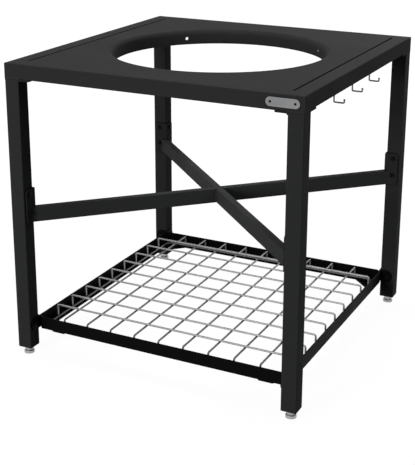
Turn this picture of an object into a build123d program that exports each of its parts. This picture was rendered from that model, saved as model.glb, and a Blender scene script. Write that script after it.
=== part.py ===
from build123d import *
import os

# Steel table frame for a round charcoal grill. The top is mitred tube round a steel deck with a
# flared cut-out. Four tube legs stand on levelling feet, tied by a crossed brace and by a low
# tray that holds a lift-out wire grid.
# Millimetres. +Z is up, +X right, +Y to the back. The origin is on the floor under the cut-out.

# Whole table
TABLE_WIDTH = 760.0
TABLE_DEPTH = 760.0
TABLE_HEIGHT = 755.0
FIT = 0.05                   # radial clearance of a shank or a sleeve in its own hole

# Tube of the legs and of the top rails
TUBE = 38.0                  # side of a leg, and width of a rail seen from above
TUBE_WALL = 2.0
TUBE_CORNER = 2.0
RAIL_HEIGHT = 37.0

# Deck and cut-out
DECK_SHEET = 3.0
DECK_GAP = 6.0               # open groove beside the left and right rails
DECK_FLANGE = 30.0           # folded-down side of the deck, under the sheet
CUTOUT_DIAMETER = 536.0
FLARE_RADIUS = 10.0          # rounded turn from the deck down into the collar
COLLAR_HOLE = 8.5
COLLAR_HOLE_RISE = 16.0      # hole centre above the collar's lower edge

# Plates on the legs' tops and their countersunk screws
LEG_PLATE = 4.0
LEG_PLATE_REACH = 30.0       # past the leg, along both rails
SCREW_HEAD = 12.0

# Screws and rivet nuts shared by the plates and the brackets
BOLT = 6.0
BOLT_HOLE_PLAY = 0.25
BOLT_HEAD = 11.0
BOLT_HEAD_HEIGHT = 3.4
BOLT_HEAD_ROUND = 2.2
BOLT_KEY = 4.0
BOLT_KEY_DEPTH = 2.0
NUT_SLEEVE = 9.0
NUT_LENGTH = 9.0

# Levelling feet
FOOT_HEIGHT = 20.0           # floor to the bottom of a leg
FOOT_TRAVEL = 15.0
FOOT_GAP = 0.3
FOOT_PAD = 26.0
FOOT_PAD_HEIGHT = 7.0
FOOT_PAD_ROUND = 1.5
FOOT_HEX = 19.0
FOOT_SPIGOT = 9.0
FOOT_SPIGOT_DEPTH = 4.0
FOOT_STUD = 10.0
INSERT_HEIGHT = 25.0

# Crossed brace
BRACE_LOW = 353.0
BRACE_TALL = 38.0
BRACE_WIDE = 19.0
BRACE_WALL = 2.0
BRACKET = 4.0                # plate of the brackets that hug the legs' inner corners
WING_REACH = 32.0
BRACE_BRACKET_TALL = 87.0
BRACE_BRACKET_ROUND = 8.0
BRACE_BOLT_RISE = 27.0       # lower bolt above the bracket's lower edge
BRACE_BOLT_PITCH = 47.0

# Tray of folded angle
TRAY_LOW = 64.0
TRAY_TALL = 32.0
TRAY_FLANGE = 25.0
TRAY_SHEET = 3.0
TRAY_PAST_LEG = 2.0          # outer face of the angle beyond the legs' inner faces
TRAY_BRACKET_LIFT = 2.0      # bracket's lower edge above the tray's
TRAY_END_ROUND = 15.0
GUSSET_SHEET = 6.0
GUSSET_SIDE = 83.0           # tray's outer corner to the strip's inner edge, along either side
GUSSET_CUT = 47.0            # the same to the strip's outer edge
GUSSET_INSET = 6.0           # strip's ends behind the tray's outer faces

# Wire grid
GRID_WIRE = 5.0
GRID_RISE = 36.0             # top of the grid above the tray's flange
GRID_PITCH = 67.5
GRID_SIDE_PLAY = 7.5
GRID_BEND = 5.0
GRID_EDGE = 40.0             # least distance from the last wire to the border wire
BORDER_LIFT = 0.5
BORDER_CORNER = 20.0

# Tool hooks under the right rail
HOOK_WIRE = 4.0
HOOK_COUNT = 3
HOOK_PITCH = 126.0
HOOK_INSET = 28.0            # shank behind the rail's outer face
HOOK_DROP = 33.0             # rail's lower face to the middle of the hook's foot
HOOK_REACH = 25.0
HOOK_TIP = 7.5
HOOK_BEND = 3.0
HOOK_SLEEVE = 6.0
HOOK_SLEEVE_LENGTH = 8.0

# Name plate, left bare
PLATE_LENGTH = 78.0
PLATE_HEIGHT = 21.0
PLATE_SHEET = 1.5
PLATE_INSET = 49.3           # plate's centre to the table's right side
RIVET_PITCH = 57.0
RIVET = 3.0
RIVET_HEAD = 5.5
RIVET_HEAD_HEIGHT = 1.2
RIVET_GRIP = 4.0             # shank past the back of the plate

# Places that follow from the sizes, taken at the rear right corner
half_x = TABLE_WIDTH / 2
half_y = TABLE_DEPTH / 2
leg_in_x = half_x - TUBE
leg_in_y = half_y - TUBE
leg_mid_x = half_x - TUBE / 2
leg_mid_y = half_y - TUBE / 2
rail_low = TABLE_HEIGHT - RAIL_HEIGHT
leg_high = rail_low - LEG_PLATE
vertex_x = leg_in_x - BRACKET
vertex_y = leg_in_y - BRACKET
tray_x = leg_in_x + TRAY_PAST_LEG
tray_y = leg_in_y + TRAY_PAST_LEG
tray_high = TRAY_LOW + TRAY_TALL
tray_bracket_low = TRAY_LOW + TRAY_BRACKET_LIFT
flange_top = TRAY_LOW + TRAY_SHEET
deck_x = leg_in_x - DECK_GAP
cutout_r = CUTOUT_DIAMETER / 2
brace_bolt_heights = (BRACE_LOW + BRACE_BOLT_RISE, BRACE_LOW + BRACE_BOLT_RISE + BRACE_BOLT_PITCH)
tray_bolt_height = tray_bracket_low + TRAY_TALL / 2
screw_x = leg_in_x - LEG_PLATE_REACH / 2
screw_y = leg_in_y - LEG_PLATE_REACH / 2

CORNERS = {"front_left": (-1, -1), "front_right": (1, -1), "rear_left": (-1, 1), "rear_right": (1, 1)}
UP = (0, 0, 1)
ON_FLOOR = (Align.CENTER, Align.CENTER, Align.MIN)


def save(name, *shapes):
    """Write one named piece, or a group of like pieces, as a STEP file."""
    solids = [solid for shape in shapes for solid in shape.solids()]
    export_step(solids[0] if len(solids) == 1 else Compound(solids), f"parts/{name}.step")


def block(x0, x1, y0, y1, z0, z1):
    """Box between two opposite corners."""
    return Pos((x0 + x1) / 2, (y0 + y1) / 2, (z0 + z1) / 2) * Box(x1 - x0, y1 - y0, z1 - z0)


def prism(points, low, high):
    """Upright prism over a plan outline."""
    outline = make_face(Polyline(*points, close=True))
    return Pos(0, 0, low) * extrude(outline, amount=high - low, dir=UP)


def rod(radius, start, end):
    """Straight round bar between two points."""
    run = Vector(end) - Vector(start)
    return extrude(Plane(origin=start, z_dir=run) * Circle(radius), amount=run.length)


def bent_rod(radius, bend, points):
    """Round bar along straight runs with rounded bends."""
    path = FilletPolyline(*points, radius=bend)
    return sweep(Plane(origin=path @ 0, z_dir=path % 0) * Circle(radius), path=path)


def at_corner(piece, side_x, side_y):
    """Copy of a rear right piece at another corner of the table."""
    if side_x < 0:
        piece = mirror(piece, about=Plane.YZ)
    if side_y < 0:
        piece = mirror(piece, about=Plane.XZ)
    return piece


# Threaded fasteners and the holes that they need

def nut_place(seat, inward, sleeve=NUT_SLEEVE, length=NUT_LENGTH):
    """Hole for a rivet nut whose mouth is at a tube's face."""
    return rod(sleeve / 2 + FIT, seat, Vector(seat) + Vector(inward) * length)


def rivet_nut(seat, inward, sleeve=NUT_SLEEVE, length=NUT_LENGTH, thread=BOLT):
    """Threaded sleeve set flush in a tube's wall."""
    end = Vector(seat) + Vector(inward) * length
    return rod(sleeve / 2, seat, end) - rod(thread / 2 + FIT, seat, end)


def button_bolt(seat, inward):
    """Round-headed screw that clamps a bracket against a leg."""
    head = Pos(0, 0, -BOLT_HEAD_HEIGHT) * Cylinder(BOLT_HEAD / 2, BOLT_HEAD_HEIGHT, align=ON_FLOOR)
    head = fillet(head.edges().group_by(Axis.Z)[0], min(BOLT_HEAD_ROUND, 0.9 * BOLT_HEAD_HEIGHT))
    key = extrude(RegularPolygon(BOLT_KEY / 2, 6, major_radius=False), amount=BOLT_KEY_DEPTH)
    shank = Cylinder(BOLT / 2, BRACKET + NUT_LENGTH, align=ON_FLOOR)
    return Plane(origin=seat, z_dir=inward) * (head - Pos(0, 0, -BOLT_HEAD_HEIGHT) * key + shank)


def leg_screw(x, y):
    """Countersunk screw, flush under a leg's top plate, that pulls the plate up to a rail."""
    depth = (SCREW_HEAD - BOLT) / 2
    head = Cone(SCREW_HEAD / 2, BOLT / 2, depth, align=ON_FLOOR)
    shank = Cylinder(BOLT / 2, LEG_PLATE + NUT_LENGTH, align=ON_FLOOR)
    key = extrude(RegularPolygon(BOLT_KEY / 2, 6, major_radius=False), amount=BOLT_KEY_DEPTH)
    return Pos(x, y, leg_high) * (head + shank - key)


# Seats of the rear right corner's fasteners, each with the way its shank points
brace_seats = [((vertex_x, leg_mid_y, z), (1, 0, 0)) for z in brace_bolt_heights]
brace_seats += [((leg_mid_x, vertex_y, z), (0, 1, 0)) for z in brace_bolt_heights]
tray_seats = [((vertex_x, leg_mid_y, tray_bolt_height), (1, 0, 0))]
tray_seats += [((leg_mid_x, vertex_y, tray_bolt_height), (0, 1, 0))]
leg_seats = [(Vector(seat) + Vector(way) * BRACKET, way) for seat, way in brace_seats + tray_seats]
screw_places = [(screw_x, leg_mid_y), (leg_mid_x, screw_y)]
rail_seats = [((x, y, rail_low), UP) for x, y in screw_places]
hook_x = half_x - HOOK_INSET
hook_seats = [((hook_x, (i - (HOOK_COUNT - 1) / 2) * HOOK_PITCH, rail_low), UP)
              for i in range(HOOK_COUNT)]
plate_x = half_x - PLATE_INSET
plate_z = rail_low + RAIL_HEIGHT / 2
rivet_places = [plate_x - RIVET_PITCH / 2, plate_x + RIVET_PITCH / 2]


# Top rails: four mitred tubes, square-edged where the deck is let in

def rail_section(outward):
    """Section of a rail whose outer face is on the local Y axis; outward is +1 or -1 along X."""
    middle = Pos(-outward * TUBE / 2, rail_low + RAIL_HEIGHT / 2)
    square = Pos(-outward * (TUBE - TUBE_CORNER / 2), TABLE_HEIGHT - TUBE_CORNER / 2)
    outline = middle * RectangleRounded(TUBE, RAIL_HEIGHT, TUBE_CORNER)
    outline += square * Rectangle(TUBE_CORNER, TUBE_CORNER)
    return outline - middle * Rectangle(TUBE - 2 * TUBE_WALL, RAIL_HEIGHT - 2 * TUBE_WALL)


rear_outline = [(-half_x, half_y), (half_x, half_y), (leg_in_x, leg_in_y), (-leg_in_x, leg_in_y)]
right_outline = [(half_x, half_y), (half_x, -half_y), (leg_in_x, -leg_in_y), (leg_in_x, leg_in_y)]
rear_rail = extrude(Plane.YZ * (Pos(half_y, 0) * rail_section(1)), amount=half_x, both=True)
rear_rail &= prism(rear_outline, rail_low, TABLE_HEIGHT)
right_rail = extrude(Plane.XZ * (Pos(half_x, 0) * rail_section(1)), amount=half_y, both=True)
right_rail &= prism(right_outline, rail_low, TABLE_HEIGHT)
for side in (-1, 1):
    rear_rail -= at_corner(nut_place(*rail_seats[0]), side, 1)
    right_rail -= at_corner(nut_place(*rail_seats[1]), 1, side)
front_rail = mirror(rear_rail, about=Plane.XZ)
left_rail = mirror(right_rail, about=Plane.YZ)
for x in rivet_places:
    front_rail -= rod(RIVET / 2 + FIT, (x, -half_y, plate_z), (x, -half_y + TUBE_WALL, plate_z))
for seat, way in hook_seats:
    right_rail -= nut_place(seat, way, HOOK_SLEEVE, TUBE_WALL)


# Deck: a sheet let in between the rails, flared down into the cut-out, and the collar under it

def flare():
    """Quarter-round lip of the cut-out."""
    lip = Circle(FLARE_RADIUS) - Circle(FLARE_RADIUS - DECK_SHEET)
    lip &= Pos(-FLARE_RADIUS / 2, FLARE_RADIUS / 2) * Rectangle(FLARE_RADIUS, FLARE_RADIUS)
    place = Pos(cutout_r + FLARE_RADIUS, TABLE_HEIGHT - FLARE_RADIUS)
    return revolve(Plane.XZ * (place * lip), axis=Axis.Z)


sheet_low = TABLE_HEIGHT - DECK_SHEET
collar_high = TABLE_HEIGHT - FLARE_RADIUS
deck = block(-deck_x, deck_x, -leg_in_y, leg_in_y, sheet_low, TABLE_HEIGHT)
deck -= Pos(0, 0, sheet_low) * Cylinder(cutout_r + FLARE_RADIUS, DECK_SHEET, align=ON_FLOOR)
deck += flare()
for side in (-1, 1):
    fold = sorted((side * deck_x, side * (deck_x - DECK_SHEET)))
    deck += block(*fold, -leg_in_y, leg_in_y, sheet_low - DECK_FLANGE, sheet_low)
collar = Cylinder(cutout_r + DECK_SHEET, collar_high - rail_low, align=ON_FLOOR)
collar -= Cylinder(cutout_r, collar_high - rail_low, align=ON_FLOOR)
for turn in (45, 135, 225, 315):
    inner_end = (cutout_r - DECK_SHEET, 0, COLLAR_HOLE_RISE)
    outer_end = (cutout_r + 2 * DECK_SHEET, 0, COLLAR_HOLE_RISE)
    collar -= Rot(0, 0, turn) * rod(COLLAR_HOLE / 2, inner_end, outer_end)
collar = Pos(0, 0, rail_low) * collar


# Leg, its top plate, the insert in its foot and the levelling foot, at the rear right corner

leg_section = RectangleRounded(TUBE, TUBE, TUBE_CORNER)
leg_section -= Rectangle(TUBE - 2 * TUBE_WALL, TUBE - 2 * TUBE_WALL)
leg = Pos(leg_mid_x, leg_mid_y, FOOT_HEIGHT) * extrude(leg_section, amount=leg_high - FOOT_HEIGHT)
for seat, way in leg_seats:
    leg -= nut_place(seat, way, length=TUBE_WALL)

plate_in_x = leg_in_x - LEG_PLATE_REACH
plate_in_y = leg_in_y - LEG_PLATE_REACH
top_plate = prism([(half_x, half_y), (plate_in_x, half_y), (plate_in_x, leg_in_y),
                   (leg_in_x, plate_in_y), (half_x, plate_in_y)], leg_high, rail_low)
sink_r = SCREW_HEAD / 2 + FIT
shank_r = BOLT / 2 + FIT
for x, y in screw_places:
    top_plate -= Pos(x, y, leg_high) * Cylinder(shank_r, LEG_PLATE, align=ON_FLOOR)
    top_plate -= Pos(x, y, leg_high) * Cone(sink_r, shank_r, sink_r - shank_r, align=ON_FLOOR)

foot_axis = Pos(leg_mid_x, leg_mid_y, 0)
insert_side = TUBE - 2 * TUBE_WALL
insert = Box(insert_side, insert_side, INSERT_HEIGHT, align=ON_FLOOR)
insert -= Cylinder(FOOT_STUD / 2 + FIT, INSERT_HEIGHT, align=ON_FLOOR)
insert = foot_axis * Pos(0, 0, FOOT_HEIGHT) * insert

pad = Cylinder(FOOT_PAD / 2, FOOT_PAD_HEIGHT, align=ON_FLOOR)
pad = fillet(pad.edges().group_by(Axis.Z)[-1], FOOT_PAD_ROUND)
socket_low = FOOT_PAD_HEIGHT - FOOT_SPIGOT_DEPTH - FOOT_GAP
pad -= Pos(0, 0, socket_low) * Cylinder(FOOT_SPIGOT / 2 + FIT, FOOT_PAD_HEIGHT, align=ON_FLOOR)
pad = foot_axis * pad

hex_low = FOOT_PAD_HEIGHT + FOOT_GAP
hex_high = FOOT_HEIGHT - FOOT_GAP
stud_high = FOOT_HEIGHT + INSERT_HEIGHT + FOOT_TRAVEL
stud = Pos(0, 0, hex_low) * extrude(RegularPolygon(FOOT_HEX / 2, 6, major_radius=False),
                                    amount=hex_high - hex_low)
stud += rod(FOOT_STUD / 2, (0, 0, hex_high), (0, 0, stud_high))
stud += rod(FOOT_SPIGOT / 2, (0, 0, FOOT_PAD_HEIGHT - FOOT_SPIGOT_DEPTH), (0, 0, hex_low))
stud = foot_axis * stud


# Brackets: plates folded round the inner corner of a leg, bolted to both of its inner faces

def bracket(low, tall, corner_round, seats):
    """Folded bracket at the rear right leg, with its bolt holes."""
    reach = BRACKET + WING_REACH
    wing = Pos(reach / 2, tall / 2) * Rectangle(reach, tall)
    wing = fillet(wing.vertices().group_by(Axis.X)[-1], min(corner_round, 0.49 * tall))
    on_x_face = Plane(origin=(vertex_x, vertex_y, low), x_dir=(0, 1, 0), z_dir=(1, 0, 0))
    on_y_face = Plane(origin=(vertex_x, vertex_y, low), x_dir=(1, 0, 0), z_dir=(0, -1, 0))
    folded = extrude(on_x_face * wing, amount=BRACKET) + extrude(on_y_face * wing, amount=-BRACKET)
    for seat, way in seats:
        folded -= rod(BOLT / 2 + BOLT_HOLE_PLAY, seat, Vector(seat) + Vector(way) * BRACKET)
    return folded


brace_bracket = bracket(BRACE_LOW, BRACE_BRACKET_TALL, BRACE_BRACKET_ROUND, brace_seats)
tray_bracket = bracket(tray_bracket_low, TRAY_TALL, TRAY_END_ROUND, tray_seats)


# Crossed brace: one whole bar and two half bars welded to its sides, notched over the brackets

def brace_bar(side_y, wall):
    """Flat tube, or its solid outline when wall is 0, from corner to corner through the middle."""
    towards = Vector(vertex_x, side_y * vertex_y, 0)
    section = Rectangle(BRACE_WIDE, BRACE_TALL)
    if wall:
        section = RectangleRounded(BRACE_WIDE, BRACE_TALL, min(TUBE_CORNER, 0.49 * BRACE_WIDE))
        section -= Rectangle(BRACE_WIDE - 2 * wall, BRACE_TALL - 2 * wall)
    middle = (0, 0, BRACE_LOW + BRACE_TALL / 2)
    across = Plane(origin=middle, x_dir=towards.cross(Vector(UP)), z_dir=towards)
    bar = extrude(across * section, amount=towards.length + BRACE_WIDE, both=True)
    notch = block(vertex_x, half_x, vertex_y, half_y, BRACE_LOW, BRACE_LOW + BRACE_TALL)
    return bar - at_corner(notch, 1, side_y) - at_corner(notch, -1, -side_y)


main_bar = brace_bar(-1, BRACE_WALL)
half_bars = (brace_bar(1, BRACE_WALL) - brace_bar(-1, 0)).solids().sort_by(Axis.X)


# Tray: four mitred angles, a plate across each cut corner and a strip of flat bar under it

def angle_rail(face, mitre_end, cut_end, section_plane, run):
    """Angle along one side, its flange turned inwards, within a plan outline."""
    tall = Pos(-TRAY_SHEET / 2, TRAY_TALL / 2) * Rectangle(TRAY_SHEET, TRAY_TALL)
    flange = Pos(-TRAY_FLANGE / 2, TRAY_SHEET / 2) * Rectangle(TRAY_FLANGE, TRAY_SHEET)
    section = section_plane * (Pos(face, TRAY_LOW) * (tall + flange))
    return extrude(section, amount=run, both=True) & prism(mitre_end + cut_end, TRAY_LOW, tray_high)


corner_sum = vertex_x + vertex_y
plate_sum = corner_sum - TRAY_SHEET * 2 ** 0.5
tray_in_x = tray_x - TRAY_FLANGE
tray_in_y = tray_y - TRAY_FLANGE
middle_x = (plate_sum + tray_x - tray_y) / 2
middle_y = plate_sum - middle_x
rear_cut = [(-(plate_sum - tray_y), tray_y), (plate_sum - tray_y, tray_y)]
rear_mitre = [(middle_x, middle_y), (tray_in_x, tray_in_y),
              (-tray_in_x, tray_in_y), (-middle_x, middle_y)]
right_cut = [(tray_x, plate_sum - tray_x), (tray_x, -(plate_sum - tray_x))]
right_mitre = [(middle_x, -middle_y), (tray_in_x, -tray_in_y),
               (tray_in_x, tray_in_y), (middle_x, middle_y)]
tray_rear = angle_rail(tray_y, rear_cut, rear_mitre, Plane.YZ, half_x)
tray_right = angle_rail(tray_x, right_cut, right_mitre, Plane.XZ, half_y)

corner_plate = prism([(corner_sum - tray_y, tray_y), (tray_x, corner_sum - tray_x),
                      (tray_x, plate_sum - tray_x), (plate_sum - tray_y, tray_y)],
                     TRAY_LOW, tray_high)
strip_in = GUSSET_SIDE - GUSSET_INSET
strip_out = GUSSET_CUT - GUSSET_INSET
strip_x = tray_x - GUSSET_INSET
strip_y = tray_y - GUSSET_INSET
gusset = prism([(tray_x - strip_in, strip_y), (tray_x - strip_out, strip_y),
                (strip_x, tray_y - strip_out), (strip_x, tray_y - strip_in)],
               TRAY_LOW - GUSSET_SHEET, TRAY_LOW)


# Wire grid: crossed wires whose ends turn down to the flange, inside them one border wire

def places(border):
    """Middle-out places of the wires between two border wires."""
    steps = int((border - GRID_EDGE) / GRID_PITCH)
    return [i * GRID_PITCH for i in range(-steps, steps + 1)]


end_x = tray_x - TRAY_SHEET - GRID_SIDE_PLAY - GRID_WIRE / 2
end_y = tray_y - TRAY_SHEET - GRID_SIDE_PLAY - GRID_WIRE / 2
border_x = end_x - GRID_WIRE
border_y = end_y - GRID_WIRE
cross_z = flange_top + GRID_RISE - GRID_WIRE / 2
long_z = cross_z - GRID_WIRE
wire_r = GRID_WIRE / 2
cross_wires = [bent_rod(wire_r, GRID_BEND, [(-end_x, y, flange_top), (-end_x, y, cross_z),
                                            (end_x, y, cross_z), (end_x, y, flange_top)])
               for y in places(border_y)]
long_wires = [bent_rod(wire_r, GRID_BEND, [(x, -end_y, flange_top), (x, -end_y, long_z),
                                           (x, end_y, long_z), (x, end_y, flange_top)])
              for x in places(border_x)]
border_path = RectangleRounded(2 * border_x, 2 * border_y, BORDER_CORNER).wire()
border_path = Pos(0, 0, flange_top + BORDER_LIFT + wire_r) * border_path
border_wire = sweep(Plane(origin=border_path @ 0, z_dir=border_path % 0) * Circle(wire_r),
                    path=border_path)


# Tool hook, screwed up into the right rail

def hook(seat):
    """Bent wire with an upturned end."""
    x, y, z = seat
    low = z - HOOK_DROP
    return bent_rod(HOOK_WIRE / 2, HOOK_BEND,
                    [(x, y, z + HOOK_SLEEVE_LENGTH), (x, y, low),
                     (x + HOOK_REACH, y, low), (x + HOOK_REACH, y, low + HOOK_TIP)])


# Name plate on the front rail, and its rivets

front_face = Plane(origin=(plate_x, -half_y, plate_z), x_dir=(1, 0, 0), z_dir=(0, -1, 0))
name_plate = extrude(front_face * SlotOverall(PLATE_LENGTH, PLATE_HEIGHT), amount=PLATE_SHEET)
rivets = []
for x in rivet_places:
    plate_front = -half_y - PLATE_SHEET
    name_plate -= rod(RIVET / 2 + FIT, (x, plate_front, plate_z), (x, -half_y, plate_z))
    head = Cylinder(RIVET_HEAD / 2, RIVET_HEAD_HEIGHT, align=ON_FLOOR)
    head = fillet(head.edges().group_by(Axis.Z)[-1], 0.8 * RIVET_HEAD_HEIGHT)
    shank = rod(RIVET / 2, (x, -half_y + RIVET_GRIP, plate_z), (x, plate_front, plate_z))
    rivets.append(Plane(origin=(x, plate_front, plate_z), z_dir=(0, -1, 0)) * head + shank)


# Write every piece

os.makedirs("parts", exist_ok=True)

save("deck_panel", deck)
save("collar_ring", collar)
for name, piece in {"front": front_rail, "rear": rear_rail,
                    "left": left_rail, "right": right_rail}.items():
    save(f"{name}_rail", piece)
for name, piece in {"front": mirror(tray_rear, about=Plane.XZ), "rear": tray_rear,
                    "left": mirror(tray_right, about=Plane.YZ), "right": tray_right}.items():
    save(f"tray_{name}_rail", piece)

corner_pieces = {"leg": leg, "leg_top_plate": top_plate, "leg_insert": insert,
                 "foot_stud": stud, "foot_pad": pad, "brace_bracket": brace_bracket,
                 "tray_bracket": tray_bracket, "tray_gusset": gusset}
for kind, piece in corner_pieces.items():
    for corner, sides in CORNERS.items():
        save(f"{kind}_{corner}", at_corner(piece, *sides))
save("tray_corner_plates", *[at_corner(corner_plate, *sides) for sides in CORNERS.values()])

save("brace_main_bar", main_bar)
save("brace_half_bar_front", half_bars[0])
save("brace_half_bar_rear", half_bars[-1])

groups = {"brace_bolts": [button_bolt(*seat) for seat in brace_seats],
          "tray_bolts": [button_bolt(*seat) for seat in tray_seats],
          "leg_plate_screws": [leg_screw(*place) for place in screw_places],
          "rivet_nuts": [rivet_nut(*seat) for seat in leg_seats + rail_seats]}
for name, pieces in groups.items():
    save(name, *[at_corner(piece, *sides) for sides in CORNERS.values() for piece in pieces])

save("grid_cross_wires", *cross_wires)
save("grid_long_wires", *long_wires)
save("grid_border_wire", border_wire)
for number, (seat, way) in enumerate(hook_seats, 1):
    save(f"tool_hook_{number}", hook(seat))
save("hook_sleeves", *[rivet_nut(seat, way, HOOK_SLEEVE, HOOK_SLEEVE_LENGTH, HOOK_WIRE)
                       for seat, way in hook_seats])
save("name_plate", name_plate)
save("name_plate_rivets", *rivets)
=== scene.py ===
import math

import bmesh
import bpy
from mathutils import Matrix, Vector


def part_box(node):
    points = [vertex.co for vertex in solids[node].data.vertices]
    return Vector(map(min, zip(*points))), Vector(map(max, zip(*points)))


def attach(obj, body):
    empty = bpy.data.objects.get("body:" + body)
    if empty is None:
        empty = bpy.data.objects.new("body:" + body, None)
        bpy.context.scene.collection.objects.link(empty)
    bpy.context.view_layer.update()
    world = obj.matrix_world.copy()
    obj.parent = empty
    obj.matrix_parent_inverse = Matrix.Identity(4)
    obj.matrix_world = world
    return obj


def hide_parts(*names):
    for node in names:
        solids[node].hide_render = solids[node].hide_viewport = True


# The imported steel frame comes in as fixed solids, in metres, with +Z up and +Y to the back.
# Each section below finishes one piece of it, in the order in which the table is put together.
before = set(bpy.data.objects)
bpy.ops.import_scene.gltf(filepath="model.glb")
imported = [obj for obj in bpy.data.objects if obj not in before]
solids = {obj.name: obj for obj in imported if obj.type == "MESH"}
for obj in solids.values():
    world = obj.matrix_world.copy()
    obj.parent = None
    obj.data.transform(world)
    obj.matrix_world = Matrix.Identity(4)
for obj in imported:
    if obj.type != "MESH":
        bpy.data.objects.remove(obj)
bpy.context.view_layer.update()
CORNERS = {"front_left": (-1, -1), "front_right": (1, -1), "rear_left": (-1, 1), "rear_right": (1, 1)}


# Top rails: four lengths of mitred square tube, welded at the corners and ground flush.
# Mild steel under a matte black powder coat with a fine orange-peel skin, a little thinner
# and smoother over the tube's rounded edges, with painted shade darkening its colour in tight gaps and
# corners.
def shader_group(name, inputs, outputs):
    """New shader node group with named sockets, as (group, its nodes, its input, its output)."""
    group = bpy.data.node_groups.new(name, "ShaderNodeTree")
    for label, kind, value in inputs:
        group.interface.new_socket(label, in_out="INPUT", socket_type=kind).default_value = value
    for label, kind in outputs:
        group.interface.new_socket(label, in_out="OUTPUT", socket_type=kind)
    return group, group.nodes, group.nodes.new("NodeGroupInput"), group.nodes.new("NodeGroupOutput")


def coat_skin_group():
    """Powder coat's skin: fine peel for the bump, and slow mottling of its tone and gloss."""
    group, nodes, given, out = shader_group(
        "coat_skin",
        [("Peel Scale", "NodeSocketFloat", 700.0), ("Mottle Scale", "NodeSocketFloat", 9.0)],
        [("Height", "NodeSocketFloat"), ("Mottle", "NodeSocketFloat"), ("Speckle", "NodeSocketFloat")])
    place = nodes.new("ShaderNodeTexCoord")
    peel = nodes.new("ShaderNodeTexNoise")
    peel.inputs["Detail"].default_value = 3.0
    peel.inputs["Roughness"].default_value = 0.55
    mottle = nodes.new("ShaderNodeTexNoise")
    mottle.inputs["Detail"].default_value = 5.0
    mottle.inputs["Roughness"].default_value = 0.6
    grain_scale = nodes.new("ShaderNodeMath")
    grain_scale.operation = "MULTIPLY"
    grain_scale.inputs[1].default_value = 2.6
    grain = nodes.new("ShaderNodeTexVoronoi")
    speckle = nodes.new("ShaderNodeMapRange")
    speckle.inputs["From Min"].default_value = 0.05
    speckle.inputs["From Max"].default_value = 0.75
    link = group.links.new
    for texture in (peel, mottle, grain):
        link(place.outputs["Object"], texture.inputs["Vector"])
    link(given.outputs["Peel Scale"], peel.inputs["Scale"])
    link(given.outputs["Mottle Scale"], mottle.inputs["Scale"])
    link(given.outputs["Peel Scale"], grain_scale.inputs[0])
    link(grain_scale.outputs[0], grain.inputs["Scale"])
    link(grain.outputs["Distance"], speckle.inputs["Value"])
    link(peel.outputs["Fac"], out.inputs["Height"])
    link(mottle.outputs["Fac"], out.inputs["Mottle"])
    link(speckle.outputs["Result"], out.inputs["Speckle"])
    return group


def thin_edge_group():
    """Mask of the outer edges, where a coat is thin or a plating is rubbed, broken up by a noise."""
    group, nodes, given, out = shader_group(
        "thin_edge",
        [("Reach", "NodeSocketFloat", 0.0015), ("Break Scale", "NodeSocketFloat", 60.0)],
        [("Edge", "NodeSocketFloat")])
    rounded = nodes.new("ShaderNodeBevel")
    rounded.samples = 6
    flat = nodes.new("ShaderNodeNewGeometry")
    dot = nodes.new("ShaderNodeVectorMath")
    dot.operation = "DOT_PRODUCT"
    edge = nodes.new("ShaderNodeMapRange")
    edge.inputs["From Min"].default_value = 0.995
    edge.inputs["From Max"].default_value = 0.8
    place = nodes.new("ShaderNodeTexCoord")
    broken = nodes.new("ShaderNodeTexNoise")
    broken.inputs["Detail"].default_value = 4.0
    share = nodes.new("ShaderNodeMath")
    share.operation = "MULTIPLY"
    link = group.links.new
    link(given.outputs["Reach"], rounded.inputs["Radius"])
    link(given.outputs["Break Scale"], broken.inputs["Scale"])
    link(place.outputs["Object"], broken.inputs["Vector"])
    link(rounded.outputs["Normal"], dot.inputs[0])
    link(flat.outputs["Normal"], dot.inputs[1])
    link(dot.outputs["Value"], edge.inputs["Value"])
    link(edge.outputs["Result"], share.inputs[0])
    link(broken.outputs["Fac"], share.inputs[1])
    link(share.outputs[0], out.inputs["Edge"])
    return group


def painted_shade_group():
    """Painted shade mask: 1 on open surface, falling to 0 in tight gaps and inner corners where shade
    falls.
    """
    group, nodes, given, out = shader_group(
        "painted_shade_ao", [("Reach", "NodeSocketFloat", 0.006)], [("Unshaded", "NodeSocketFloat")])
    near = nodes.new("ShaderNodeAmbientOcclusion")
    near.samples = 6
    opened = nodes.new("ShaderNodeMapRange")
    opened.inputs["From Min"].default_value = 0.42
    opened.inputs["From Max"].default_value = 0.95
    link = group.links.new
    link(given.outputs["Reach"], near.inputs["Distance"])
    link(near.outputs["AO"], opened.inputs["Value"])
    link(opened.outputs["Result"], out.inputs["Unshaded"])
    return group


coat_skin = coat_skin_group()
thin_edge = thin_edge_group()
painted_shade_ao = painted_shade_group()


def new_material(name):
    """Material with a Principled shader, as (material, its nodes, its link function, the shader)."""
    material = bpy.data.materials.new(name)
    material.use_nodes = True
    return material, material.node_tree.nodes, material.node_tree.links.new, \
        material.node_tree.nodes["Principled BSDF"]


def placed_group(nodes, group, **values):
    """One use of a node group in a material, with its own values."""
    node = nodes.new("ShaderNodeGroup")
    node.node_tree = group
    for label, value in values.items():
        node.inputs[label.replace("_", " ")].default_value = value
    return node


def two_tones(nodes, link, mask, dark, light):
    """Colour that goes from dark to light with a mask; each is a tone or a socket to read."""
    mix = nodes.new("ShaderNodeMix")
    mix.data_type = "RGBA"
    link(mask, mix.inputs["Factor"])
    for end, colour in (("A", dark), ("B", light)):
        if isinstance(colour, bpy.types.NodeSocket):
            link(colour, mix.inputs[end])
        else:
            mix.inputs[end].default_value = (*colour, 1.0)
    return mix.outputs["Result"]


def times(tone, share):
    """A tone made darker or lighter."""
    return [share * part for part in tone]


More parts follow.
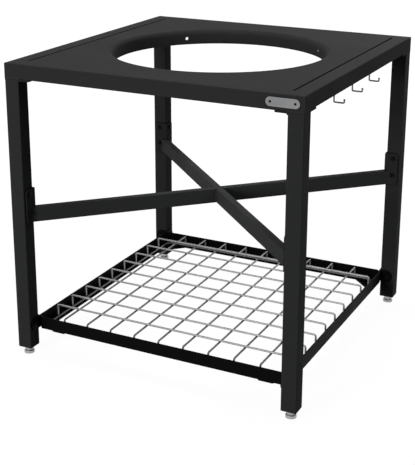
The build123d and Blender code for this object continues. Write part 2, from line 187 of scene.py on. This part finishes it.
def value_range(nodes, link, value, low, high):
    """The middle of a noise, 0.3 to 0.7, moved to another range; gives the socket to read."""
    span = nodes.new("ShaderNodeMapRange")
    link(value, span.inputs["Value"])
    span.inputs["From Min"].default_value = 0.3
    span.inputs["From Max"].default_value = 0.7
    span.inputs["To Min"].default_value = low
    span.inputs["To Max"].default_value = high
    return span.outputs["Result"]


def powder_coat(name, tone, peel_scale, roughness, specular):
    """Matte black powder coat of one tone, with its own size of peel and range of roughness."""
    material, nodes, link, shader = new_material(name)
    skin = placed_group(nodes, coat_skin, Peel_Scale=peel_scale, Mottle_Scale=7.0)
    edge = placed_group(nodes, thin_edge, Reach=0.0012, Break_Scale=45.0)
    # painted shade: an occlusion mask that darkens the coat's colour where nearby geometry hems the
    # surface in
    painted_shade_mask = placed_group(nodes, painted_shade_ao, Reach=0.006)
    body = two_tones(nodes, link, skin.outputs["Mottle"], times(tone, 0.9), times(tone, 1.1))
    worn = two_tones(nodes, link, edge.outputs["Edge"], body, times(tone, 2.2))
    # painted shade: the colour falls to 4 % of the tone in tight gaps and inner corners
    shaded = two_tones(nodes, link, painted_shade_mask.outputs["Unshaded"], times(tone, 0.04), worn)
    link(shaded, shader.inputs["Base Color"])
    link(value_range(nodes, link, skin.outputs["Mottle"], *roughness), shader.inputs["Roughness"])
    bump = nodes.new("ShaderNodeBump")
    bump.inputs["Strength"].default_value = 0.35
    bump.inputs["Distance"].default_value = 0.0004
    link(skin.outputs["Height"], bump.inputs["Height"])
    link(bump.outputs["Normal"], shader.inputs["Normal"])
    shader.inputs["Specular IOR Level"].default_value = specular
    return material


def dress(node, material):
    """Gives a solid its finish."""
    solids[node].data.materials.clear()
    solids[node].data.materials.append(material)


top_coat = powder_coat("top_coat", tone=(0.042, 0.042, 0.042), peel_scale=680.0,
                       roughness=(0.60, 0.72), specular=0.007)
for side in ("front", "rear", "left", "right"):
    dress(f"{side}_rail", top_coat)


# Deck and collar: a 3 mm steel sheet let in between the rails, drawn down round the cut-out,
# and a rolled collar welded under it. One coat runs over the rails, the deck and the collar.
for node in ("deck_panel", "collar_ring"):
    dress(node, top_coat)


# Legs and their top plates: square tube, with a 4 mm plate welded on top that is screwed up to
# the rails from below. The weld shows as a rippled bead along the leg's two inner faces, and
# outside, where leg, plate and rail are in one plane, the joint is filled and ground flush.
def made(name, bm, material, body, slot, *nodes):
    """Turns a bmesh into a piece that rides on a body, in place of the CAD nodes named."""
    bmesh.ops.recalc_face_normals(bm, faces=bm.faces)
    mesh = bpy.data.meshes.new(name)
    bm.to_mesh(mesh)
    bm.free()
    mesh.shade_smooth()
    mesh.set_sharp_from_angle(angle=math.radians(35))
    mesh.materials.append(material)
    piece = bpy.data.objects.new(name, mesh)
    bpy.context.scene.collection.objects.link(piece)
    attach(piece, body)
    if nodes:
        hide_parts(*nodes)
    return piece


def verts_of(geom):
    """The vertices in what an operator gives back."""
    return [part for part in geom if isinstance(part, bmesh.types.BMVert)]


def eased(node, width, material, slot):
    """Stands a copy of a plate with its sharp edges broken in place of the solid."""
    bm = bmesh.new()
    bm.from_mesh(solids[node].data)
    bmesh.ops.remove_doubles(bm, verts=bm.verts, dist=0.00001)
    bmesh.ops.dissolve_limit(bm, angle_limit=math.radians(1), verts=bm.verts, edges=bm.edges)
    sharp = [edge for edge in bm.edges
             if len(edge.link_faces) == 2 and edge.calc_face_angle() > math.radians(50)]
    bmesh.ops.bevel(bm, geom=sharp, offset=width, offset_type="OFFSET", affect="EDGES",
                    segments=2, profile=0.5, material=-1, clamp_overlap=True)
    plate = made(f"{node}_eased", bm, material, "frame", slot, node)
    plate.modifiers.new("flat_faces", "WEIGHTED_NORMAL").keep_sharp = True


def weld_bead(bm, start, end, lie, stand, throat):
    """Adds a rippled fillet weld along an inner corner; lie and stand run along its two faces."""
    lie, stand = Vector(lie).normalized(), Vector(stand).normalized()
    sunk = (lie + stand) * -0.05 * throat
    corner, end = Vector(start) + sunk, Vector(end) + sunk
    steps = 2 * max(3, round((end - corner).length / throat))
    ring = [bm.verts.new(corner)]
    for angle in (0.0, 22.5, 45.0, 67.5, 90.0):
        turn = math.radians(angle)
        reach = throat * (1.0 - 0.12 * math.sin(2.0 * turn))
        ring.append(bm.verts.new(corner + reach * (lie * math.cos(turn) + stand * math.sin(turn))))
    rim = bm.faces.new(ring).edges[:]
    size = 1.0
    for step in range(1, steps + 1):
        grown = bmesh.ops.extrude_edge_only(bm, edges=rim)["geom"]
        ring = verts_of(grown)
        rim = [part for part in grown if isinstance(part, bmesh.types.BMEdge) and part.is_boundary]
        bmesh.ops.translate(bm, verts=ring, vec=(end - corner) / steps)
        middle = corner + (end - corner) * step / steps
        wanted = 0.7 if step == steps else (0.9, 1.0)[step % 2]
        bmesh.ops.scale(bm, verts=ring, vec=(wanted / size,) * 3, space=Matrix.Translation(-middle))
        size = wanted
    bmesh.ops.contextual_create(bm, geom=rim)


def ground_fill(bm, start, end, inward, rise):
    """Adds a fill of triangular section under a rail's rounded edge, flush with its face."""
    start, end, inward = Vector(start), Vector(end), Vector(inward)
    ring = [bm.verts.new(start), bm.verts.new(start + inward * rise),
            bm.verts.new(start + Vector((0.0, 0.0, rise)))]
    drawn = bmesh.ops.extrude_face_region(bm, geom=[bm.faces.new(ring)], use_keep_orig=True)["geom"]
    bmesh.ops.translate(bm, vec=end - start, verts=verts_of(drawn))


tube_coat = powder_coat("tube_coat", tone=(0.041, 0.042, 0.042), peel_scale=850.0,
                        roughness=(0.58, 0.70), specular=0.008)
plate_coat = powder_coat("plate_coat", tone=(0.036, 0.036, 0.037), peel_scale=900.0,
                         roughness=(0.55, 0.66), specular=0.008)
SHEET_EASE = 0.0005
LEG_BEAD = 0.0045
BEAD_INSET = 0.002      # bead's start inside the leg's outer face
RAIL_ROUND = 0.002
FILL_PAST = 0.003       # fill carried on past the leg's inner face
for corner, (side_x, side_y) in CORNERS.items():
    dress(f"leg_{corner}", tube_coat)
    eased(f"leg_top_plate_{corner}", SHEET_EASE, plate_coat, "black_powder_coat")
    low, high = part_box(f"leg_{corner}")
    out_x, in_x = (high.x, low.x) if side_x > 0 else (low.x, high.x)
    out_y, in_y = (high.y, low.y) if side_y > 0 else (low.y, high.y)
    bm = bmesh.new()
    weld_bead(bm, (in_x, out_y - BEAD_INSET * side_y, high.z), (in_x, in_y, high.z),
              (0, 0, -1), (-side_x, 0, 0), LEG_BEAD)
    weld_bead(bm, (out_x - BEAD_INSET * side_x, in_y, high.z), (in_x, in_y, high.z),
              (0, 0, -1), (0, -side_y, 0), LEG_BEAD)
    made(f"leg_top_weld_{corner}", bm, plate_coat, "frame", "black_powder_coat")
    bm = bmesh.new()
    rail_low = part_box("front_rail")[0].z
    ground_fill(bm, (out_x, out_y, rail_low), (in_x - FILL_PAST * side_x, out_y, rail_low),
                (0, -side_y, 0), RAIL_ROUND)
    ground_fill(bm, (out_x, out_y, rail_low), (out_x, in_y - FILL_PAST * side_y, rail_low),
                (-side_x, 0, 0), RAIL_ROUND)
    made(f"ground_joint_{corner}", bm, tube_coat, "frame", "black_powder_coat")


# Screws, bolts and rivets: steel in satin black oxide, a little brighter along the edges where
# the driver has rubbed.
def black_oxide():
    """Dark oxide over steel, with rubbed edges."""
    material, nodes, link, shader = new_material("black_oxide")
    skin = placed_group(nodes, coat_skin, Peel_Scale=1500.0, Mottle_Scale=120.0)
    edge = placed_group(nodes, thin_edge, Reach=0.0006, Break_Scale=300.0)
    body = two_tones(nodes, link, skin.outputs["Mottle"], (0.003, 0.003, 0.003), (0.006, 0.006, 0.0062))
    worn = two_tones(nodes, link, edge.outputs["Edge"], body, (0.05, 0.05, 0.05))
    link(worn, shader.inputs["Base Color"])
    link(value_range(nodes, link, skin.outputs["Mottle"], 0.26, 0.36), shader.inputs["Roughness"])
    shader.inputs["Specular IOR Level"].default_value = 0.05
    return material


fastener_black = black_oxide()
for node in ("leg_plate_screws", "brace_bolts", "tray_bolts", "name_plate_rivets"):
    dress(node, fastener_black)


# Levelling feet: a turned zinc-plated pad and a threaded stud with a hexagon to turn it by,
# in a black nylon insert that is pressed into the leg.
SPIGOT_RADIUS = 0.0045
SPIGOT_LOW = 0.003
SPIGOT_SUNK = 0.0005    # spigot's upper end inside the hexagon
HEX_LOW = 0.0073
HEX_HIGH = 0.0197
HEX_ACROSS = 0.019
HEX_CHAMFER = 0.0007
THREAD_PITCH = 0.0015
THREAD_ROOT = 0.00408
THREAD_CREST = 0.00495
THREAD_FLANK = [(THREAD_ROOT, 0.0), (THREAD_ROOT, 0.00019), (THREAD_CREST, 0.00066),
                (THREAD_CREST, 0.00084), (THREAD_ROOT, 0.00131), (THREAD_ROOT, THREAD_PITCH)]
THREAD_STEPS = 20       # steps in one turn of the thread
THREAD_SUNK = 0.0006    # thread's lower end inside the hexagon
STUD_HIGH = 0.0598


def plated(name, tone, roughness):
    """Dull zinc plate with faint spangle."""
    material, nodes, link, shader = new_material(name)
    skin = placed_group(nodes, coat_skin, Peel_Scale=500.0, Mottle_Scale=160.0)
    body = two_tones(nodes, link, skin.outputs["Mottle"], times(tone, 0.8), times(tone, 1.15))
    link(body, shader.inputs["Base Color"])
    link(value_range(nodes, link, skin.outputs["Speckle"], roughness - 0.06, roughness + 0.08),
         shader.inputs["Roughness"])
    shader.inputs["Metallic"].default_value = 0.9
    return material


def nylon():
    """Moulded black nylon with a fine spark-eroded grain."""
    material, nodes, link, shader = new_material("insert_nylon")
    skin = placed_group(nodes, coat_skin, Peel_Scale=1200.0, Mottle_Scale=40.0)
    body = two_tones(nodes, link, skin.outputs["Mottle"], (0.016, 0.016, 0.016), (0.026, 0.026, 0.026))
    link(body, shader.inputs["Base Color"])
    link(value_range(nodes, link, skin.outputs["Mottle"], 0.45, 0.6), shader.inputs["Roughness"])
    bump = nodes.new("ShaderNodeBump")
    bump.inputs["Strength"].default_value = 0.2
    bump.inputs["Distance"].default_value = 0.0002
    link(skin.outputs["Height"], bump.inputs["Height"])
    link(bump.outputs["Normal"], shader.inputs["Normal"])
    return material


def prism(bm, segments, radius, low, high):
    """Adds an upright prism with closed ends; gives its vertices."""
    earlier = set(bm.verts)
    rim = bmesh.ops.create_circle(bm, cap_ends=True, segments=segments, radius=radius)["verts"]
    raised = bmesh.ops.extrude_face_region(bm, geom=rim[0].link_faces[:], use_keep_orig=True)["geom"]
    bmesh.ops.translate(bm, vec=(0, 0, high - low), verts=verts_of(raised))
    added = [vert for vert in bm.verts if vert not in earlier]
    bmesh.ops.translate(bm, vec=(0, 0, low), verts=added)
    return added


def threaded_stud(bm, x, y):
    """Adds a levelling stud: spigot, chamfered hexagon and rolled M10 thread."""
    spigot = set(prism(bm, 28, SPIGOT_RADIUS, SPIGOT_LOW, HEX_LOW + SPIGOT_SUNK))
    hexagon = prism(bm, 6, HEX_ACROSS / 2 / math.cos(math.pi / 6), HEX_LOW, HEX_HIGH)
    bmesh.ops.rotate(bm, verts=hexagon, matrix=Matrix.Rotation(math.pi / 6, 3, "Z"))
    bmesh.ops.bevel(bm, geom=[edge for edge in bm.edges if edge.verts[0] not in spigot],
                    offset=HEX_CHAMFER, offset_type="OFFSET", affect="EDGES", segments=2, profile=0.5,
                    material=-1, clamp_overlap=True)
    turned = set(bm.verts)
    line = [bm.verts.new((radius, 0.0, HEX_HIGH - 2 * THREAD_PITCH + rise))
            for radius, rise in THREAD_FLANK]
    edges = [bm.edges.new(pair) for pair in zip(line, line[1:])]
    turns = math.ceil((STUD_HIGH - HEX_HIGH) / THREAD_PITCH) + 2
    bmesh.ops.spin(bm, geom=line + edges, cent=(0, 0, 0), axis=(0, 0, 1), angle=math.tau * turns,
                   dvec=(0, 0, THREAD_PITCH / THREAD_STEPS), steps=THREAD_STEPS * turns, use_merge=False)
    bmesh.ops.remove_doubles(bm, verts=[v for v in bm.verts if v not in turned], dist=0.00001)
    for height, way in ((HEX_HIGH - THREAD_SUNK, -1), (STUD_HIGH, 1)):
        thread = [v for v in bm.verts if v not in turned]
        thread += [e for e in bm.edges if e.verts[0] not in turned]
        thread += [f for f in bm.faces if f.verts[0] not in turned]
        cut = bmesh.ops.bisect_plane(bm, geom=thread, dist=0.000001, plane_co=(0, 0, height),
                                     plane_no=(0, 0, way), clear_outer=True)["geom_cut"]
        bmesh.ops.contextual_create(
            bm, geom=[part for part in cut if isinstance(part, bmesh.types.BMEdge)])
    bmesh.ops.translate(bm, vec=(x, y, 0), verts=bm.verts)


foot_zinc = plated("foot_zinc", tone=(0.38, 0.38, 0.375), roughness=0.42)
insert_nylon = nylon()
for corner in CORNERS:
    dress(f"foot_pad_{corner}", foot_zinc)
    dress(f"leg_insert_{corner}", insert_nylon)
    low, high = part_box(f"foot_stud_{corner}")
    bm = bmesh.new()
    threaded_stud(bm, (low.x + high.x) / 2, (low.y + high.y) / 2)
    made(f"threaded_stud_{corner}", bm, foot_zinc, f"stud_{corner}", "zinc_foot", f"foot_stud_{corner}")


# Crossed brace: one whole bar and two half bars of flat tube, welded where they meet and to
# folded brackets that are bolted to the legs' inner faces.
# painted light: the brace carries the legs' coat, set a little lighter in tone
brace_coat = powder_coat("brace_coat", tone=(0.047, 0.048, 0.048), peel_scale=800.0,
                         roughness=(0.55, 0.66), specular=0.010)
BRACE_BEAD = 0.003
BRACE_SIDE = 0.0095     # half the bars' width
BRACE_ROUND = 0.002     # bars' rounded edges, which the beads leave free
for node in ("brace_main_bar", "brace_half_bar_front", "brace_half_bar_rear"):
    dress(node, brace_coat)
low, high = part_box("brace_main_bar")
bar_low, bar_high = low.z + BRACE_ROUND, high.z - BRACE_ROUND
bm = bmesh.new()
for along in (Vector((1, 1, 0)).normalized(), Vector((-1, -1, 0)).normalized()):
    for across in (Vector((1, -1, 0)).normalized(), Vector((-1, 1, 0)).normalized()):
        seam = (along + across) * BRACE_SIDE
        weld_bead(bm, (seam.x, seam.y, bar_low), (seam.x, seam.y, bar_high), across, along, BRACE_BEAD)
made("brace_crossing_welds", bm, brace_coat, "frame", "black_powder_coat")
for corner, (side_x, side_y) in CORNERS.items():
    eased(f"brace_bracket_{corner}", SHEET_EASE, plate_coat, "black_powder_coat")
    near, far = high.x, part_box(f"brace_bracket_{corner}")[0 if side_x > 0 else 1].x * side_x
    bm = bmesh.new()
    weld_bead(bm, (side_x * far, side_y * near, bar_low), (side_x * far, side_y * near, bar_high),
              (0, side_y, 0), (-side_x, -side_y, 0), BRACE_BEAD)
    weld_bead(bm, (side_x * near, side_y * far, bar_low), (side_x * near, side_y * far, bar_high),
              (side_x, 0, 0), (-side_x, -side_y, 0), BRACE_BEAD)
    made(f"brace_end_weld_{corner}", bm, brace_coat, "frame", "black_powder_coat")


# Tray: four lengths of folded angle round the legs, a plate across each corner and a strip of
# flat bar under it. Its coat is blacker and glossier than the frame's.
tray_coat = powder_coat("tray_coat", tone=(0.0038, 0.0038, 0.004), peel_scale=850.0,
                        roughness=(0.48, 0.58), specular=0.022)
TRAY_BEAD = 0.0035
SEAM_INSET = 0.001      # seam's ends inside the bracket and the corner plate
CORNER_PLATE_EASE = 0.0004
for side in ("front", "rear", "left", "right"):
    eased(f"tray_{side}_rail", SHEET_EASE, tray_coat, "black_powder_coat")
eased("tray_corner_plates", CORNER_PLATE_EASE, tray_coat, "black_powder_coat")
for corner, (side_x, side_y) in CORNERS.items():
    eased(f"tray_gusset_{corner}", SHEET_EASE, tray_coat, "black_powder_coat")
    eased(f"tray_bracket_{corner}", SHEET_EASE, tray_coat, "black_powder_coat")
    low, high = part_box(f"tray_bracket_{corner}")
    fold = (low if side_x > 0 else high).x * side_x
    plate_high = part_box("tray_corner_plates")[1].z
    seam = [(side_x * fold, side_y * fold, height)
            for height in (low.z + SEAM_INSET, plate_high - SEAM_INSET)]
    bm = bmesh.new()
    weld_bead(bm, *seam, (0, side_y, 0), (-side_x, side_y, 0), TRAY_BEAD)
    weld_bead(bm, *seam, (side_x, 0, 0), (side_x, -side_y, 0), TRAY_BEAD)
    made(f"tray_bracket_weld_{corner}", bm, tray_coat, "frame", "black_powder_coat")


# Wire grid: 5 mm drawn wire, cross welded and zinc plated, laid loose in the tray, with a small fused
# lump at each crossing. One and the same wire, with the cross wires painted lighter and the long wires,
# border and lumps painted darker, as painted light and shade.
def drawn_metal(name, tone, stretch, roughness, depth, metallic):
    """Bright metal with drawing or brushing lines that run along one way."""
    material, nodes, link, shader = new_material(name)
    place = nodes.new("ShaderNodeTexCoord")
    along = nodes.new("ShaderNodeMapping")
    along.inputs["Scale"].default_value = stretch
    lines = nodes.new("ShaderNodeTexNoise")
    lines.inputs["Scale"].default_value = 1.0
    lines.inputs["Detail"].default_value = 4.0
    lines.inputs["Roughness"].default_value = 0.65
    link(place.outputs["Object"], along.inputs["Vector"])
    link(along.outputs["Vector"], lines.inputs["Vector"])
    skin = placed_group(nodes, coat_skin, Peel_Scale=400.0, Mottle_Scale=30.0)
    body = two_tones(nodes, link, skin.outputs["Mottle"], times(tone, 0.85), times(tone, 1.12))
    link(body, shader.inputs["Base Color"])
    link(value_range(nodes, link, lines.outputs["Fac"], roughness - 0.08, roughness + 0.1),
         shader.inputs["Roughness"])
    bump = nodes.new("ShaderNodeBump")
    bump.inputs["Strength"].default_value = 0.25
    bump.inputs["Distance"].default_value = depth
    link(lines.outputs["Fac"], bump.inputs["Height"])
    link(bump.outputs["Normal"], shader.inputs["Normal"])
    shader.inputs["Metallic"].default_value = metallic
    return material


def weld_nugget(bm, place, size):
    """Adds the small flattened lump where two wires were fused."""
    lump = bmesh.ops.create_uvsphere(bm, u_segments=8, v_segments=4, radius=1.0)["verts"]
    bmesh.ops.scale(bm, vec=size, verts=lump)
    bmesh.ops.translate(bm, vec=place, verts=lump)


# painted light and shade: one plated wire in two tones, the cross wires lighter, the long wires, border
# and lumps darker
cross_wire_painted_light = drawn_metal("cross_wire_painted_light", tone=(0.33, 0.33, 0.33), stretch=(25.0, 900.0, 900.0),
                         roughness=0.40, depth=0.00004, metallic=0.55)
long_wire_painted_shade = drawn_metal("long_wire_painted_shade", tone=(0.13, 0.13, 0.13), stretch=(900.0, 25.0, 900.0),
                        roughness=0.40, depth=0.00004, metallic=0.55)
dress("grid_cross_wires", cross_wire_painted_light)
dress("grid_long_wires", long_wire_painted_shade)
dress("grid_border_wire", long_wire_painted_shade)
WIRE_PITCH = 0.0675
WIRES_BESIDE = 4        # wires on each side of the middle one
LUMP_WIDE = 0.0021
LUMP_FLAT = 0.0011
wire_places = [step * WIRE_PITCH for step in range(-WIRES_BESIDE, WIRES_BESIDE + 1)]
touch_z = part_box("grid_long_wires")[1].z
border_low, border_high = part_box("grid_border_wire")
border_z = (border_low.z + border_high.z) / 2
bm = bmesh.new()
for x in wire_places:
    for y in wire_places:
        weld_nugget(bm, (x, y, touch_z), (LUMP_WIDE, LUMP_WIDE, LUMP_FLAT))
for place in wire_places:
    for edge in (border_low.x, border_high.x):
        weld_nugget(bm, (edge, place, border_z), (LUMP_FLAT, LUMP_WIDE, LUMP_WIDE))
        weld_nugget(bm, (place, edge, border_z), (LUMP_WIDE, LUMP_FLAT, LUMP_WIDE))
made("grid_weld_nuggets", bm, long_wire_painted_shade, "grid", "bright_wire")


# Tool hooks: 4 mm plated wire, bent, screwed up into sleeves in the right rail, with the cut
# end peened over to a blunt knob so that it doesn't scratch.
hook_wire = drawn_metal("hook_wire", tone=(0.13, 0.13, 0.133), stretch=(700.0, 700.0, 60.0),
                        roughness=0.4, depth=0.00004, metallic=1.0)
HOOK_WIRE_RADIUS = 0.002
HOOK_TIP_HIGH = 0.6925
KNOB_RADIUS = 1.35 * HOOK_WIRE_RADIUS
KNOB_SQUASH = (1.0, 1.0, 0.75)
bm = bmesh.new()
for number in (1, 2, 3):
    dress(f"tool_hook_{number}", hook_wire)
    low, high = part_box(f"tool_hook_{number}")
    knob = bmesh.ops.create_uvsphere(bm, u_segments=16, v_segments=10, radius=KNOB_RADIUS)["verts"]
    bmesh.ops.scale(bm, vec=KNOB_SQUASH, verts=knob)
    bmesh.ops.translate(bm, verts=knob,
                        vec=(high.x - HOOK_WIRE_RADIUS, (low.y + high.y) / 2, HOOK_TIP_HIGH))
made("hook_knobs", bm, hook_wire, "frame", "hook_wire")


# Rivet nuts and hook sleeves: zinc-plated steel, pressed into the tube walls for the bolts and
# hooks to screw into, and mostly hidden.
nut_zinc = plated("nut_zinc", tone=(0.5, 0.5, 0.49), roughness=0.36)
for node in ("rivet_nuts", "hook_sleeves"):
    dress(node, nut_zinc)


# Name plate: a pill of brushed aluminium with no lettering, its edge broken, riveted to the
# front rail beside the right leg.
plate_brushed = drawn_metal("plate_brushed", tone=(0.158, 0.159, 0.164), stretch=(40.0, 900.0, 2600.0),
                            roughness=0.55, depth=0.00003, metallic=0.85)
NAME_PLATE_EASE = 0.0003
eased("name_plate", NAME_PLATE_EASE, plate_brushed, "plate_aluminium")


# Studio: a pale floor that keeps a faint shadow, a softbox at the front, one overhead and weaker
# fills at the sides and back, a white surround, and a camera near the photograph's viewing angle.
def background_ray(nodes, link):
    """1 for camera, glossy and transmission rays, which see a plain white surround."""
    path = nodes.new("ShaderNodeLightPath")
    first = nodes.new("ShaderNodeMath")
    first.operation = "MAXIMUM"
    second = nodes.new("ShaderNodeMath")
    second.operation = "MAXIMUM"
    link(path.outputs["Is Camera Ray"], first.inputs[0])
    link(path.outputs["Is Glossy Ray"], first.inputs[1])
    link(first.outputs[0], second.inputs[0])
    link(path.outputs["Is Transmission Ray"], second.inputs[1])
    return second.outputs[0]


def pale_floor():
    """Floor that looks white and still takes the object's shadow."""
    bm = bmesh.new()
    bmesh.ops.create_circle(bm, cap_ends=True, segments=64, radius=60.0)
    mesh = bpy.data.meshes.new("floor")
    bm.to_mesh(mesh)
    bm.free()
    floor = bpy.data.objects.new("floor", mesh)
    bpy.context.scene.collection.objects.link(floor)
    material, nodes, link, shader = new_material("pale_floor")
    shader.inputs["Base Color"].default_value = (0.10, 0.10, 0.10, 1.0)
    shader.inputs["Roughness"].default_value = 0.9
    shader.inputs["Specular IOR Level"].default_value = 0.0
    shader.inputs["Emission Color"].default_value = (1.0, 1.0, 1.0, 1.0)
    place = nodes.new("ShaderNodeTexCoord")
    away = nodes.new("ShaderNodeVectorMath")
    away.operation = "LENGTH"
    level = nodes.new("ShaderNodeMapRange")
    level.inputs["From Min"].default_value = 0.7
    level.inputs["From Max"].default_value = 2.4
    level.inputs["To Min"].default_value = 0.95
    level.inputs["To Max"].default_value = 1.0
    glow = nodes.new("ShaderNodeMath")
    glow.operation = "MULTIPLY"
    link(place.outputs["Object"], away.inputs[0])
    link(away.outputs["Value"], level.inputs["Value"])
    link(level.outputs["Result"], glow.inputs[1])
    link(background_ray(nodes, link), glow.inputs[0])
    link(glow.outputs[0], shader.inputs["Emission Strength"])
    mesh.materials.append(material)


pale_floor()


def softbox(name, place, aim, size, power, tint):
    """Square area lamp at a place, turned to face a point."""
    lamp = bpy.data.lights.new(name, "AREA")
    lamp.shape = "SQUARE"
    lamp.size = size
    lamp.energy = power
    lamp.color = tint
    box = bpy.data.objects.new(name, lamp)
    box.location = place
    box.rotation_euler = (Vector(aim) - Vector(place)).to_track_quat("-Z", "Y").to_euler()
    box.visible_camera = False
    bpy.context.scene.collection.objects.link(box)


WHITE = (1.0, 1.0, 1.0)
PALE_BLUE = (0.96, 0.98, 1.0)
softbox("key_softbox", place=(-0.9, -4.2, 1.4), aim=(0, 0, 0.5), size=1.4, power=88.0, tint=WHITE)
softbox("overhead_softbox", place=(0.0, 0.0, 3.8), aim=(0, 0, 0.6), size=1.6, power=50.0, tint=WHITE)
softbox("right_fill", place=(3.6, 0.2, 2.6), aim=(0, 0, 0.4), size=2.0, power=25.0, tint=PALE_BLUE)
softbox("left_fill", place=(-3.6, 0.0, 2.6), aim=(0, 0, 0.4), size=2.0, power=24.0, tint=WHITE)
softbox("back_fill", place=(0.4, 4.2, 1.6), aim=(0, 0, 0.4), size=2.0, power=55.0, tint=WHITE)

world = bpy.data.worlds.new("white_surround")
world.use_nodes = True
bpy.context.scene.world = world
nodes, link = world.node_tree.nodes, world.node_tree.links.new
sky = nodes["Background"]
sky.inputs["Color"].default_value = (1.0, 1.0, 1.0, 1.0)
level = nodes.new("ShaderNodeMapRange")
level.inputs["To Min"].default_value = 0.02
level.inputs["To Max"].default_value = 1.0
link(background_ray(nodes, link), level.inputs["Value"])
link(level.outputs["Result"], sky.inputs["Strength"])

CAMERA_PLACE = (1.1791, -2.4411, 1.2807)
CAMERA_TURN = 0.4695
CAMERA_TILT = -0.2991
lens = bpy.data.cameras.new("camera")
lens.lens = 84.97
lens.shift_x = 0.02
lens.shift_y = -0.14
camera = bpy.data.objects.new("camera", lens)
camera.location = CAMERA_PLACE
camera.rotation_euler = (math.pi / 2 + CAMERA_TILT, 0.0, CAMERA_TURN)
bpy.context.scene.collection.objects.link(camera)
bpy.context.scene.camera = camera
bpy.context.scene.view_settings.view_transform = "Standard"
